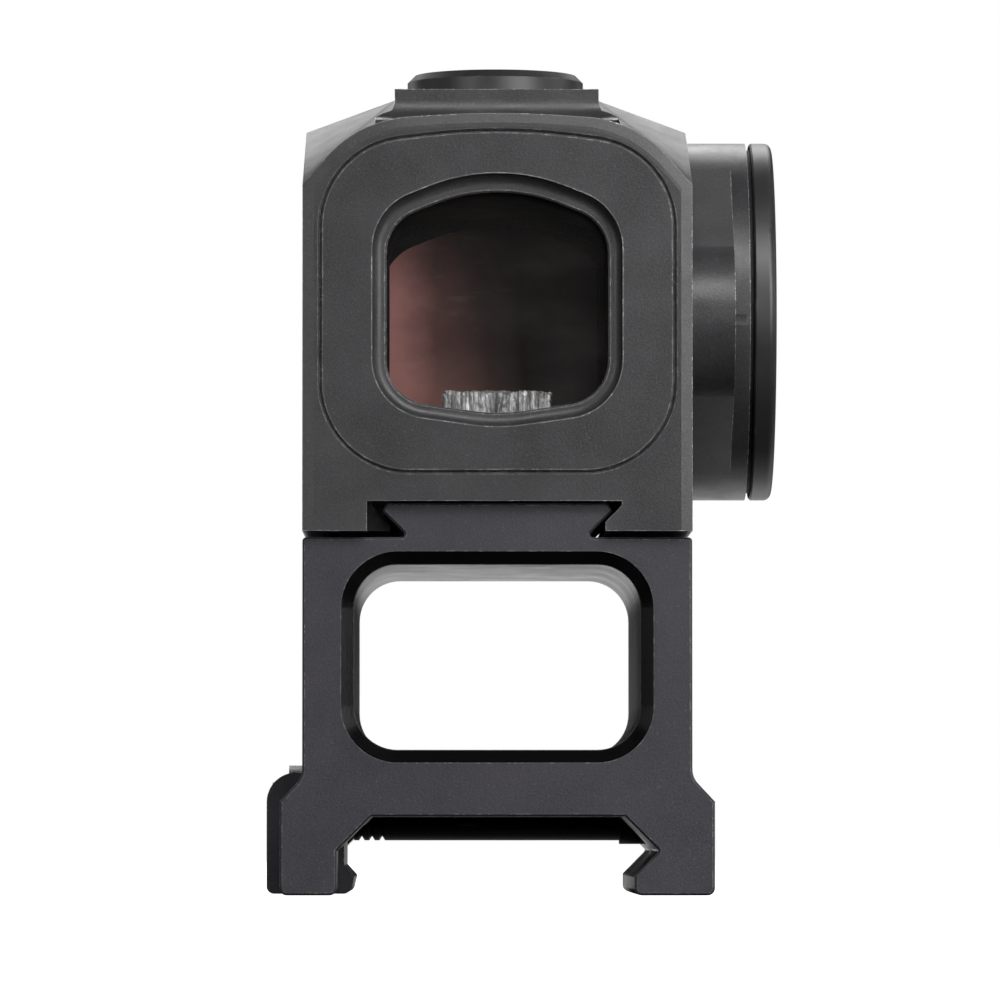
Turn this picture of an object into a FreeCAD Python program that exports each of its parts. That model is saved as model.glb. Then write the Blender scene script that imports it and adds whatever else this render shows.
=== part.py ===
"""Enclosed red dot sight on a riser mount for a cross-slotted accessory rail.

Frame: origin at the middle of the face that rests on the rail, +Z up, +X to the
battery side, +Y from the shooter's window towards the target. Millimetres.
"""
import FreeCAD, Part
import math
import os
import re
import Sketcher

Vector = FreeCAD.Vector
UP = Vector(0, 0, 1)

DIMS = [
    # name, size, what it is
    ("half_width", 13.0, "half the width of the sight and of the riser's column"),
    ("sight_rear", -20.0, "shooter's end of the sight"),
    ("sight_front", 27.0, "target end of the sight"),
    ("shoulder_run", 16.0, "length over which the shoulders slope up from an end"),
    ("sight_base", 19.0, "underside of the sight"),
    ("arch_spring", 42.1, "height at which an end face's arch leaves the side"),
    ("arch_shoulder_x", 9.2, "where the arch's corner stands across"),
    ("arch_shoulder_z", 46.45, "and up"),
    ("arch_top", 47.0, "top of the arched end"),
    ("shoulder_radius", 8.0, "rounding of the arch's corners"),
    ("crown_radius", 60.0, "crown of the arch, of the ridge and of a lens"),
    ("rim", 0.75, "how far the sloping rim of an end face reaches inwards"),
    ("rim_slope", 0.16, "and how far it falls back"),
    ("crease_top", 46.9, "side crease at mid length"),
    ("ridge_half", 6.9, "half the width of the top ridge"),
    ("ridge_top", 49.2, "flat top of the ridge"),
    ("ridge_fall", 0.05, "fall of the ridge's top towards its edges"),
    ("ridge_round", 1.0, "rounding of the ridge's edges"),
    ("ridge_set", 8.0, "how far the ridge starts behind an end face"),
    ("ridge_foot", 47.0, "foot of the ridge's hollow flank"),
    ("ridge_root", 2.0, "depth to which the ridge is sunk in the shell"),
    ("ridge_lap", 0.5, "length of ridge that the hollow steps trim away"),
    ("scoop_half", 8.2, "half the width of the step at each end of the ridge"),
    ("scoop_low", 46.13, "height of the arched floor at that width"),
    ("scoop_bend", 7.07, "where the floor's two slopes would meet across"),
    ("scoop_bend_z", 46.557, "and up"),
    ("flank_radius", 1.5, "hollow flank of the ridge"),
    ("bezel_half", 11.85, "half the width of a bezel's recess"),
    ("bezel_low", 22.9, "lowest edge of the recess"),
    ("bezel_high", 44.6, "side corners of the recess"),
    ("bezel_crown", 46.05, "crown of the recess"),
    ("bezel_round", 6.0, "corners of the recess"),
    ("bezel_arch", 40.0, "radius of its crown"),
    ("bezel_gap", 0.06, "seam between a bezel and the housing"),
    ("seam_break", 0.12, "broken edges on both sides of a seam"),
    ("bezel_depth", 2.5, "rear bezel's thickness"),
    ("hood_depth", 6.0, "front bezel's thickness"),
    ("pane_half", 7.4, "half the width of the clear window"),
    ("pane_low", 27.83, "side corners of the clear window, low"),
    ("pane_foot", 26.79, "where its two lower slopes would meet"),
    ("pane_high", 39.57, "side corners of the clear window, high"),
    ("pane_crown", 42.56, "where its two upper slopes would meet"),
    ("pane_round", 3.0, "corners of the clear window"),
    ("pane_arch", 11.5, "radius of its crown and of its foot"),
    ("low_share", 0.87, "share of an even offset that moves the low corners down"),
    ("high_share", 0.67, "share of an even offset that moves the high corners up"),
    ("lip", 0.95, "width of the hollow lip round a window"),
    ("lip_lift", 0.3, "how much wider the lip is above the window"),
    ("lip_depth", 0.75, "depth of the lip"),
    ("lip_round", 0.7, "hollow corner of the lip"),
    ("lens_half", 8.8, "half the width of a lens"),
    ("lens_low", 25.7, "lowest edge of a lens"),
    ("lens_high", 42.9, "side corners of a lens"),
    ("lens_rise", 0.3, "rise of the lens's arched top"),
    ("lens_round", 3.4, "corners of a lens"),
    ("lens_thick", 1.25, "lens thickness"),
    ("gasket", 0.4, "lens gasket thickness"),
    ("seal_set", 1.2, "how far a gasket stays inside its bezel's outline"),
    ("bore_half", 9.0, "half the width of the housing's bore"),
    ("bore_low", 25.1, "floor of the bore"),
    ("bore_high", 44.1, "ceiling of the bore"),
    ("bore_rise", 0.5, "rise of the bore's arched ceiling"),
    ("bore_round", 4.2, "corners of the bore"),
    ("bore_arch", 50.0, "radius of the bore's ceiling"),
    ("play", 0.5, "room round the optics carriage"),
    ("carriage_wall", 0.8, "wall of the optics carriage"),
    ("carriage_end", 0.4, "room at each end of the carriage"),
    ("stop_thick", 0.8, "field stop at the carriage's target end"),
    ("stop_half", 7.45, "half the width of the stop's opening"),
    ("stop_low", 26.7, "sill of the stop"),
    ("stop_high", 40.75, "side corners of the stop"),
    ("stop_crown", 43.4, "where the stop's two slopes would meet"),
    ("stop_round", 1.5, "corners of the stop"),
    ("stop_arch", 15.0, "radius of the stop's arch"),
    ("leaf_half", 3.0, "half the width of the carriage's leaf spring"),
    ("leaf_rear", 2.0, "its end nearest the shooter"),
    ("leaf_front", 20.0, "its end nearest the target"),
    ("leaf_thick", 0.12, "its thickness"),
    ("block_half", 3.85, "half the width of the emitter block"),
    ("block_rear", -15.6, "emitter block's face towards the shooter"),
    ("block_long", 4.6, "its length"),
    ("block_high", 2.4, "its height"),
    ("block_break", 0.3, "its broken top edges"),
    ("led_high", 1.1, "light source above the carriage's floor"),
    ("led_radius", 0.7, "light source radius"),
    ("led_thick", 0.5, "how far it stands out"),
    ("board_half", 7.2, "half the width of the circuit board"),
    ("board_rear", -16.0, "circuit board's end nearest the shooter"),
    ("board_front", 14.0, "its other end"),
    ("board_low", 23.35, "underside of the circuit board"),
    ("board_thick", 0.8, "its thickness"),
    ("board_room", 0.3, "room at each side of the board"),
    ("board_screw", 0.65, "board screw's shank"),
    ("board_screw_head", 1.1, "board screw's head"),
    ("board_screw_depth", 1.05, "depth of a board screw's hole"),
    ("cell_y", 4.0, "battery and elevation axis along the sight"),
    ("cell_z", 34.4, "battery axis height"),
    ("cell_radius", 10.0, "coin cell radius"),
    ("cell_thick", 3.2, "coin cell thickness"),
    ("cell_face", 13.75, "coin cell's inner face"),
    ("cell_step", 0.3, "step round the cell's inner face"),
    ("cell_room", 0.35, "room round the cell"),
    ("well_floor", 13.45, "floor of the cell's well"),
    ("contact_thick", 0.25, "battery contact's thickness"),
    ("mouth_wall", 0.85, "wall of the boss round the cap's skirt"),
    ("mouth_floor", 14.7, "floor of the cap's mouth"),
    ("boss_radius", 12.4, "battery boss and cap radius"),
    ("boss_face", 17.3, "outer face of the battery boss"),
    ("cap_gap", 0.3, "groove between the boss and its cap"),
    ("cap_face", 19.1, "outer face of the battery cap"),
    ("cap_round", 0.5, "rounded edge of the cap"),
    ("cap_slot_half", 6.0, "half the length of the cap's coin slot"),
    ("cap_slot_wide", 1.6, "width of the cap's coin slot"),
    ("slot_depth", 0.9, "depth of the coin slots"),
    ("nose_y", -8.0, "centre of the fairing's nose along the sight"),
    ("nose_z", 33.7, "and its height"),
    ("nose_radius", 6.0, "nose of the fairing"),
    ("fairing_face", 16.1, "outer face of the fairing"),
    ("dial_radius", 6.1, "elevation dial radius"),
    ("dial_top", 51.5, "top of the elevation dial"),
    ("dial_gap", 0.12, "gap under the dial"),
    ("dial_step", 0.25, "step at the dial's foot"),
    ("dial_break", 0.5, "bevel round the dial's top"),
    ("dial_slot_half", 4.0, "half the length of the dial's coin slot"),
    ("dial_slot_wide", 1.4, "width of the dial's coin slot"),
    ("collar_radius", 3.0, "elevation screw's collar"),
    ("collar_low", 46.9, "underside of the collar"),
    ("lift_screw", 1.5, "elevation screw's thread"),
    ("lift_screw_low", 44.6, "tip of the elevation screw"),
    ("lift_nut_half", 3.6, "half the width of the elevation nut"),
    ("lift_nut_thick", 2.3, "its thickness"),
    ("lift_nut_room", 2.5, "depth of its pocket above the bore"),
    ("windage_y", -10.7, "windage screw along the sight"),
    ("side_screw", 1.25, "windage screw's thread"),
    ("side_head", 2.3, "windage screw's head"),
    ("side_head_thick", 1.5, "its thickness"),
    ("side_sink", 2.0, "depth of its counterbore"),
    ("side_seal", 0.3, "room for the seal under the head"),
    ("slot_fine", 0.7, "width of its slot"),
    ("side_nut_half", 2.5, "half the width of the windage nut"),
    ("side_nut_thick", 2.0, "its thickness"),
    ("side_nut_room", 2.2, "depth of its pocket beside the bore"),
    ("key_y", 8.0, "middle of the keypad along the sight"),
    ("key_z", 34.4, "keypad height"),
    ("key_pitch", 8.0, "distance between the two buttons"),
    ("key_radius", 2.6, "button radius"),
    ("key_thick", 0.7, "button's thickness"),
    ("key_round", 0.2, "rounded edge of a button"),
    ("key_stem", 1.1, "button's stem"),
    ("sign_half", 1.3, "half the length of a button's sign"),
    ("sign_wide", 0.4, "width of its strokes"),
    ("sign_depth", 0.15, "where the strokes end below the side's face"),
    ("pad_half_y", 8.0, "half the length of the keypad's recess"),
    ("pad_half_z", 4.0, "half its height"),
    ("pad_depth", 1.2, "its depth"),
    ("pad_sink", 0.15, "how far the pad and the set screws lie below the side"),
    ("switch_radius", 1.8, "dome switch radius"),
    ("switch_depth", 1.7, "depth of a switch's well below the pad"),
    ("groove_top", 21.0, "ceiling of the dovetail groove"),
    ("groove_left", 8.7, "left side of the dovetail groove"),
    ("groove_right", 8.3, "right side of the dovetail groove"),
    ("jaw_tip", 7.2, "tip of the groove's jaws"),
    ("jaw_low", 0.6, "where a jaw's slope starts above the underside"),
    ("jaw_high", 1.7, "where it ends"),
    ("clamp_set", 3.0, "clamp bar's pocket from an end of the sight"),
    ("clamp_pocket_out", 11.7, "outer side of the pocket"),
    ("clamp_pocket_in", 8.2, "its inner side"),
    ("clamp_room", 2.6, "its depth"),
    ("clamp_under", 0.1, "clamp bar above the sight's underside"),
    ("clamp_bar_top", 2.4, "top of the clamp bar above the same"),
    ("clamp_bar_out", 10.7, "outer side of the clamp bar"),
    ("clamp_bar_in", 8.4, "its inner side"),
    ("set_screw", 1.0, "set screw radius, M2"),
    ("set_screw_z", 20.3, "height of the set screws"),
    ("set_screw_bite", 0.95, "how far a set screw enters the bar"),
    ("set_screw_key", 0.5, "set screw's hex socket, across corners / 2"),
    ("mount_half_y", 19.0, "half the length of the riser mount"),
    ("mount_break", 0.15, "broken edges of the mount's ends"),
    ("plate_top", 18.6, "top plate of the riser"),
    ("dovetail_neck", 6.2, "half the width of the dovetail's neck"),
    ("dovetail_tip", 7.65, "half the width across the dovetail's tips"),
    ("dovetail_tip_z", 20.35, "height of the tips"),
    ("dovetail_top", 20.9, "top of the dovetail"),
    ("window_half", 9.55, "half the width of the riser's window"),
    ("window_low", 4.45, "sill of the riser's window"),
    ("window_high", 16.8, "head of the riser's window"),
    ("window_radius", 2.9, "corners of the riser's window"),
    ("window_bevel", 0.88, "bevel round the riser's window"),
    ("flare_low", 1.0, "height at which the foot turns in"),
    ("flare_high", 2.6, "and meets the column"),
    ("flare_round", 1.4, "hollow where they meet"),
    ("small_round", 0.25, "edges of the top plate"),
    ("foot_half", 14.5, "half the width of the mount's foot"),
    ("foot_low", -5.25, "underside of the mount's legs"),
    ("foot_round", 0.5, "edges of the foot and the clamp"),
    ("seat_half", 8.5, "half the width of the rail seat"),
    ("left_seat_half", 8.4, "the seat's end at the sliding jaw"),
    ("left_leg_in", 10.7, "inner side of the left legs"),
    ("vee_half", 10.8, "half the width across the rail's V"),
    ("vee_z", -2.3, "height of the V's corner"),
    ("toe_half", 9.14, "toe of the fixed jaw"),
    ("toe_top", -3.95, "foot of the V's lower flank"),
    ("clamp_half_y", 10.0, "half the length of the rail clamp"),
    ("clamp_face", -15.55, "outer face of the rail clamp"),
    ("clamp_low", -5.2, "underside of the rail clamp"),
    ("clamp_top", 3.0, "top of the rail clamp"),
    ("clamp_round", 2.0, "rounded top edge of the rail clamp"),
    ("clamp_inner", 10.8, "inner face of the rail clamp"),
    ("clamp_waist", 10.3, "its inner face beside the rail"),
    ("clamp_hub", 3.15, "boss on the rail clamp's inner face"),
    ("bolt_z", 0.4, "rail bolt's axis above the seat"),
    ("bolt_radius", 2.0, "rail bolt's shank, M4"),
    ("bolt_neck", 2.25, "plain neck under the bolt's head"),
    ("bolt_pitch", 0.7, "rail bolt's thread pitch"),
    ("bolt_key", 1.45, "rail bolt's hex socket, across corners / 2"),
    ("head_radius", 3.0, "rail bolt's head"),
    ("head_seat", 10.65, "underside of the rail bolt's head"),
    ("head_thick", 2.6, "its height"),
    ("fit", 0.05, "radial room of a running fit"),
    ("rest_gap", 0.01, "gap between parts that rest on one another"),
    ("past", 1.0, "how far a cut starts outside, or a root starts inside"),
]
NAMES = {name for name, size, note in DIMS}
FAR = 99.0                                  # beyond any edge of the part
SIDES = (-0.5, 0.5)                         # the two buttons, in key pitches
BOARD_SCREWS = (("-5.5", "-13"), ("5.5", "11"))
SET_SCREWS = {"sight_clamp_screw_rear": "-9", "sight_clamp_screw_front": "16"}
BOLT_TURNS = 11


def bind(text):
    """Turn dimension names in an expression into references to the sheet."""
    return re.sub(r"[a-z][a-z_]+", lambda word: "Dims." + word.group()
                  if word.group() in NAMES else word.group(), str(text))


def make_sheet(doc):
    """The driving dimensions, one to a row."""
    sheet = doc.addObject("Spreadsheet::Sheet", "Dims")
    for row, (name, size, note) in enumerate(DIMS, start=1):
        sheet.set(f"A{row}", note)
        sheet.set(f"B{row}", str(size))
        sheet.setAlias(f"B{row}", name)
    doc.recompute()
    return sheet


doc = FreeCAD.newDocument("red_dot_sight")
dims = make_sheet(doc)


def value(text):
    """The number an expression has now."""
    return float(dims.evalExpression(bind(text)))


# ---------------------------------------------------------------- sketches

def new_body(label):
    body = doc.addObject("PartDesign::Body", label)
    body.Label = label
    return body


def new_sketch(body, plane, at="0"):
    """A sketch on one of the body's own origin planes, moved to a station."""
    planes = {item.Role: item for item in body.Origin.OriginFeatures}
    sketch = body.newObject("Sketcher::SketchObject", body.Name + "_sketch")
    sketch.AttachmentSupport = [(planes[plane + "_Plane"], "")]
    sketch.MapMode = "FlatFace"
    sign = "-" if plane == "XZ" else ""
    sketch.setExpression(".AttachmentOffset.Base.z", bind(f"{sign}({at})"))
    return sketch


def pin(sketch, kind, items, text):
    """Add a dimension and bind it to an expression."""
    index = sketch.addConstraint(Sketcher.Constraint(kind, *items, value(text)))
    if abs(value(text)) > 1e-9 or kind == "Radius":
        sketch.setExpression(f"Constraints[{index}]", bind(text))


def pin_point(sketch, geo, end, spot):
    pin(sketch, "DistanceX", (-1, 1, geo, end), spot[0])
    pin(sketch, "DistanceY", (-1, 1, geo, end), spot[1])


def rounded(here, before, after, radius):
    """Tangent points and centre of a rounded corner."""
    back = (before - here).normalize()
    ahead = (after - here).normalize()
    half = back.getAngle(ahead) / 2
    trim = radius / math.tan(half)
    centre = here + (back + ahead).normalize() * (radius / math.sin(half))
    return here + back * trim, here + ahead * trim, centre


def outline(sketch, corners):
    """A closed outline of straight runs; a corner's third item rounds it."""
    spots = [Vector(value(c[0]), value(c[1]), 0) for c in corners]
    count = len(corners)
    starts = []
    ends = []
    arcs = {}
    for i, corner in enumerate(corners):
        enter = leave = spots[i]
        if len(corner) > 2:
            radius = value(corner[2])
            enter, leave, centre = rounded(spots[i], spots[i - 1], spots[(i + 1) % count], radius)
            turn = (enter - centre).cross(leave - centre).z
            first, last = (enter, leave) if turn > 0 else (leave, enter)
            angles = [math.atan2(p.y - centre.y, p.x - centre.x) for p in (first, last)]
            circle = Part.Circle(centre, UP, radius)
            geo = sketch.addGeometry(Part.ArcOfCircle(circle, *angles), False)
            arcs[i] = (geo, (1, 2) if turn > 0 else (2, 1))
        ends.append(enter)
        starts.append(leave)
    lines = []
    for i in range(count):
        line = Part.LineSegment(starts[i], ends[(i + 1) % count])
        lines.append(sketch.addGeometry(line, False))
    for i, corner in enumerate(corners):
        if i in arcs:
            geo, (enter, leave) = arcs[i]
            dot = sketch.addGeometry(Part.Point(spots[i]), True)
            pin_point(sketch, dot, 1, corner)
            sketch.addConstraint(Sketcher.Constraint("PointOnObject", dot, 1, lines[i - 1]))
            sketch.addConstraint(Sketcher.Constraint("PointOnObject", dot, 1, lines[i]))
            sketch.addConstraint(Sketcher.Constraint("Tangent", lines[i - 1], 2, geo, enter))
            sketch.addConstraint(Sketcher.Constraint("Tangent", geo, leave, lines[i], 1))
            pin(sketch, "Radius", (geo,), corner[2])
        else:
            sketch.addConstraint(Sketcher.Constraint("Coincident", lines[i - 1], 2, lines[i], 1))
            pin_point(sketch, lines[i], 1, corner)
    return sketch


def ring(sketch, across, up, radius):
    """A full circle."""
    centre = Vector(value(across), value(up), 0)
    geo = sketch.addGeometry(Part.Circle(centre, UP, value(radius)), False)
    pin_point(sketch, geo, 3, (across, up))
    pin(sketch, "Radius", (geo,), radius)
    return sketch


def box_corners(left, low, right, high, radius=None):
    corners = [(left, low), (right, low), (right, high), (left, high)]
    return [c + (radius,) for c in corners] if radius else corners


def arched(half, low, high, crown, radius, crown_radius, foot=None):
    """Window-like outline: round corners and a top, and maybe a foot, slightly arched."""
    corners = [(f"-({half})", low, radius)]
    if foot:
        corners.append(("0", foot, crown_radius))
    corners += [(half, low, radius), (half, high, radius), ("0", crown, crown_radius)]
    corners.append((f"-({half})", high, radius))
    return corners


# ---------------------------------------------------------------- features

def check_changed(body, before, grew):
    """A feature that changes nothing is a mistake, and shows no error."""
    change = body.Shape.Volume - before
    if (change <= 1e-6) if grew else (change >= -1e-6):
        raise RuntimeError(f"{body.Label}: {body.Tip.Name} changed the volume by {change}")


def extrude(body, sketch, length, kind="Pad", flip=False, midplane=False):
    """Pad or Pocket a sketch. A Pad goes along the sketch's normal."""
    before = body.Shape.Volume if body.Tip and not body.Shape.isNull() else 0.0
    feature = body.newObject("PartDesign::" + kind, body.Name + "_" + kind.lower())
    feature.Profile = sketch
    feature.setExpression("Length", bind(length))
    feature.Reversed = flip
    feature.Midplane = midplane
    sketch.Visibility = False
    doc.recompute()
    check_changed(body, before, kind == "Pad")
    return feature


def along_y(body, corners, start, length, kind="Pad"):
    """Section in X and Z, from Y = start towards +Y."""
    sketch = outline(new_sketch(body, "XZ", start), corners)
    return extrude(body, sketch, length, kind, flip=(kind == "Pad"))


def along_x(body, corners, start, length, kind="Pad"):
    """Section in Y and Z, from X = start towards +X."""
    sketch = outline(new_sketch(body, "YZ", start), corners)
    return extrude(body, sketch, length, kind, flip=(kind == "Pocket"))


def along_z(body, corners, start, length, kind="Pad"):
    """Section in X and Y, from Z = start towards +Z."""
    sketch = outline(new_sketch(body, "XY", start), corners)
    return extrude(body, sketch, length, kind, flip=(kind == "Pocket"))


def round_along(body, axis, across, up, radius, start, length, kind="Pad"):
    """A round bar or hole along an axis, from start towards plus."""
    plane = {"X": "YZ", "Y": "XZ", "Z": "XY"}[axis]
    sketch = ring(new_sketch(body, plane, start), across, up, radius)
    backwards = (kind == "Pad") == (axis == "Y")
    return extrude(body, sketch, length, kind, flip=backwards)


def tube_along(body, axis, across, up, radii, start, length):
    """A plain ring, from its outer and inner radius."""
    plane = {"X": "YZ", "Y": "XZ", "Z": "XY"}[axis]
    sketch = new_sketch(body, plane, start)
    for radius in radii:
        ring(sketch, across, up, radius)
    return extrude(body, sketch, length, flip=(axis == "Y"))


def edges(body, test):
    """Names of the body's edges that pass a test."""
    return [f"Edge{i}" for i, edge in enumerate(body.Shape.Edges, start=1) if test(edge)]


def dress(body, kind, size, test):
    """Fillet or Chamfer the edges that pass a test."""
    names = edges(body, test)
    if not names:
        raise RuntimeError(f"{body.Label}: no edges to {kind.lower()}")
    base = body.Tip
    feature = body.newObject("PartDesign::" + kind, body.Name + "_" + kind.lower())
    feature.Base = (base, names)
    feature.setExpression("Radius" if kind == "Fillet" else "Size", bind(size))
    doc.recompute()
    return feature


def flat_at(axis, place, low=(-FAR, -FAR, -FAR), high=(FAR, FAR, FAR)):
    """Test for edges that lie in the plane axis = place, inside a box."""
    where = value(place)

    def test(edge):
        box = edge.BoundBox
        ends = {"X": (box.XMin, box.XMax), "Y": (box.YMin, box.YMax), "Z": (box.ZMin, box.ZMax)}
        if max(abs(end - where) for end in ends[axis]) > 1e-3:
            return False
        lows = (box.XMin, box.YMin, box.ZMin)
        highs = (box.XMax, box.YMax, box.ZMax)
        return all(a >= b - 1e-3 for a, b in zip(lows, low)) and all(
            a <= b + 1e-3 for a, b in zip(highs, high))
    return test


def round_at(axis, place, radius):
    """Test for circles of one radius in the plane axis = place."""
    level = flat_at(axis, place)
    size = value(radius)

    def test(edge):
        return level(edge) and abs(getattr(edge.Curve, "Radius", 0) - size) < 1e-3
    return test


# ---------------------------------------------------------------- housing

def end_section(shrink="0"):
    """The arched section at an end of the sight; the end face is a shrunk copy."""
    half = f"half_width - {shrink}"
    spring = f"arch_spring - {shrink} / 2"
    shoulder = (f"arch_shoulder_x - {shrink} / 2", f"arch_shoulder_z - {shrink}", "shoulder_radius")
    corners = [(f"-({half})", "sight_base"), (half, "sight_base"), (half, spring), shoulder]
    corners += [("0", f"arch_top - {shrink}", "crown_radius")]
    return corners + [(f"-({shoulder[0]})",) + shoulder[1:], (f"-({half})", spring)]


def middle_section():
    """The sight's section where its shoulders are highest."""
    corners = [("-half_width", "sight_base"), ("half_width", "sight_base")]
    corners += [("half_width", "crease_top"), ("ridge_half", "ridge_top - ridge_fall", "ridge_round")]
    corners += [("0", "ridge_top", "crown_radius")]
    corners += [("-ridge_half", "ridge_top - ridge_fall", "ridge_round")]
    return corners + [("-half_width", "crease_top")]


def bezel_outline(shrink="0"):
    """The bezels' outline, and the recesses they sit in."""
    return arched(f"bezel_half - ({shrink})", f"bezel_low + ({shrink})", f"bezel_high - ({shrink})",
                  f"bezel_crown - ({shrink})", f"bezel_round - ({shrink})", "bezel_arch")


def pane_outline(grow="0", lift="0"):
    """The clear window, or a copy of it grown evenly and lifted at its top."""
    return arched(f"pane_half + ({grow})", f"pane_low - low_share * ({grow})",
                  f"pane_high + high_share * ({grow}) + ({lift})",
                  f"pane_crown + ({grow}) + ({lift})", f"pane_round + ({grow})",
                  f"pane_arch + ({grow})", f"pane_foot - ({grow})")


def lens_outline(shrink="0"):
    return arched(f"lens_half - ({shrink})", f"lens_low + ({shrink})", f"lens_high - ({shrink})",
                  f"lens_high + lens_rise - ({shrink})", "lens_round", "crown_radius")


def bore_outline(shrink="0", radius="bore_round"):
    return arched(f"bore_half - ({shrink})", f"bore_low + ({shrink})",
                  f"bore_high - bore_rise - ({shrink})", f"bore_high - ({shrink})", radius,
                  "bore_arch")


def loft(body, near, far, near_at, far_at):
    """A ruled solid between two sections of the sight."""
    before = body.Shape.Volume
    first = outline(new_sketch(body, "XZ", near_at), near)
    second = outline(new_sketch(body, "XZ", far_at), far)
    feature = body.newObject("PartDesign::AdditiveLoft", body.Name + "_loft")
    feature.Profile = first
    feature.Sections = [second]
    feature.Ruled = True
    doc.recompute()
    check_changed(body, before, grew=True)


def housing_ridge(body):
    """The raised strip along the top, with hollow flanks."""
    wide = "ridge_half + flank_radius + ridge_lap / 5"
    foot = "ridge_foot - ridge_root"
    corners = [(f"-({wide})", foot), (wide, foot), (wide, "ridge_foot")]
    corners += [("ridge_half", "ridge_foot", "flank_radius"), ("ridge_half", "ridge_top")]
    corners += [("-ridge_half", "ridge_top"), ("-ridge_half", "ridge_foot", "flank_radius")]
    corners += [(f"-({wide})", "ridge_foot")]
    along_y(body, corners, "sight_rear + ridge_set - ridge_lap",
            "sight_front - sight_rear - 2 * ridge_set + 2 * ridge_lap")


def housing_scoops(body):
    """A step with a hollow back in front of each end of the ridge; it keeps the arch's form."""
    for end, way in (("sight_rear", "+"), ("sight_front", "-")):
        back = f"{end} {way} ridge_set"
        outer = f"{end} {way} -past"
        hollow = [(back, "ridge_top + past"), (back, "ridge_foot", "flank_radius")]
        hollow += [(outer, "ridge_foot"), (outer, "ridge_top + past")]
        sketch = outline(new_sketch(body, "YZ"), hollow)
        extrude(body, sketch, "2 * scoop_half", "Pocket", midplane=True)
    bend = ("scoop_bend", "scoop_bend_z", "shoulder_radius")
    floor = [("-scoop_half", "scoop_low"), ("-scoop_bend",) + bend[1:]]
    floor += [("0", "arch_top", "crown_radius"), bend, ("scoop_half", "scoop_low")]
    section = list(reversed(floor)) + [("-scoop_half", "ridge_top"), ("scoop_half", "ridge_top")]
    length = "ridge_set - flank_radius - rim_slope"
    along_y(body, section, "sight_rear + rim_slope", length, "Pocket")
    along_y(body, section, "sight_front - ridge_set + flank_radius", length, "Pocket")


def housing_shell(body):
    """The outer form: sloping ends, straight middle, battery boss and its fairing."""
    housing_ridge(body)
    rear_rim = "sight_rear + rim_slope"
    front_rim = "sight_front - rim_slope"
    loft(body, end_section("rim"), end_section(), "sight_rear", rear_rim)
    loft(body, end_section(), middle_section(), rear_rim, "sight_rear + shoulder_run")
    along_y(body, middle_section(), "sight_rear + shoulder_run",
            "sight_front - sight_rear - 2 * shoulder_run")
    loft(body, middle_section(), end_section(), "sight_front - shoulder_run", front_rim)
    loft(body, end_section(), end_section("rim"), front_rim, "sight_front")
    housing_scoops(body)
    round_along(body, "X", "cell_y", "cell_z", "boss_radius", "half_width - past",
                "boss_face - half_width + past")
    fairing(body)


def fairing(body):
    """Drop-shaped swelling that runs from the battery boss to a nose."""
    gap = Vector(value("cell_y - nose_y"), value("cell_z - nose_z"), 0)
    lean = math.asin((value("boss_radius") - value("nose_radius")) / gap.Length)
    tilt = math.atan2(gap.y, gap.x)
    points = []
    for side in (1, -1):
        angle = tilt + side * (math.pi / 2 + lean)
        ray = Vector(math.cos(angle), math.sin(angle), 0)
        nose = Vector(value("nose_y"), value("nose_z"), 0) + ray * value("nose_radius")
        boss = Vector(value("cell_y"), value("cell_z"), 0) + ray * value("boss_radius")
        points.append((nose, boss))
    (nose_up, boss_up), (nose_down, boss_down) = points
    sketch = new_sketch(body, "YZ", "half_width - past")
    tip = Vector(value("nose_y - nose_radius"), value("nose_z"), 0)
    nose_arc = sketch.addGeometry(Part.Arc(nose_up, tip, nose_down), False)
    low = sketch.addGeometry(Part.LineSegment(nose_down, boss_down), False)
    back = sketch.addGeometry(Part.LineSegment(boss_down, boss_up), False)
    top = sketch.addGeometry(Part.LineSegment(boss_up, nose_up), False)
    chain = ((nose_arc, 2, low, 1), (low, 2, back, 1), (back, 2, top, 1), (top, 2, nose_arc, 1))
    for first, end, second, start in chain:
        sketch.addConstraint(Sketcher.Constraint("Coincident", first, end, second, start))
    pin(sketch, "Radius", (nose_arc,), "nose_radius")
    pin_point(sketch, nose_arc, 3, ("nose_y", "nose_z"))
    extrude(body, sketch, "fairing_face - half_width + past")


def housing_recesses(body):
    """The two recesses that the bezels sit in, with broken edges."""
    rear_recess = "bezel_depth + gasket"
    front_recess = "hood_depth + gasket"
    along_y(body, bezel_outline(), "sight_rear", rear_recess, "Pocket")
    along_y(body, bezel_outline(), f"sight_front - ({front_recess})", front_recess, "Pocket")
    low = (value("-bezel_half") - 0.1, -FAR, value("bezel_low") - 0.1)
    high = (value("bezel_half") + 0.1, FAR, value("bezel_crown"))
    for end in ("sight_rear", "sight_front"):
        dress(body, "Chamfer", "seam_break", flat_at("Y", end, low, high))


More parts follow.
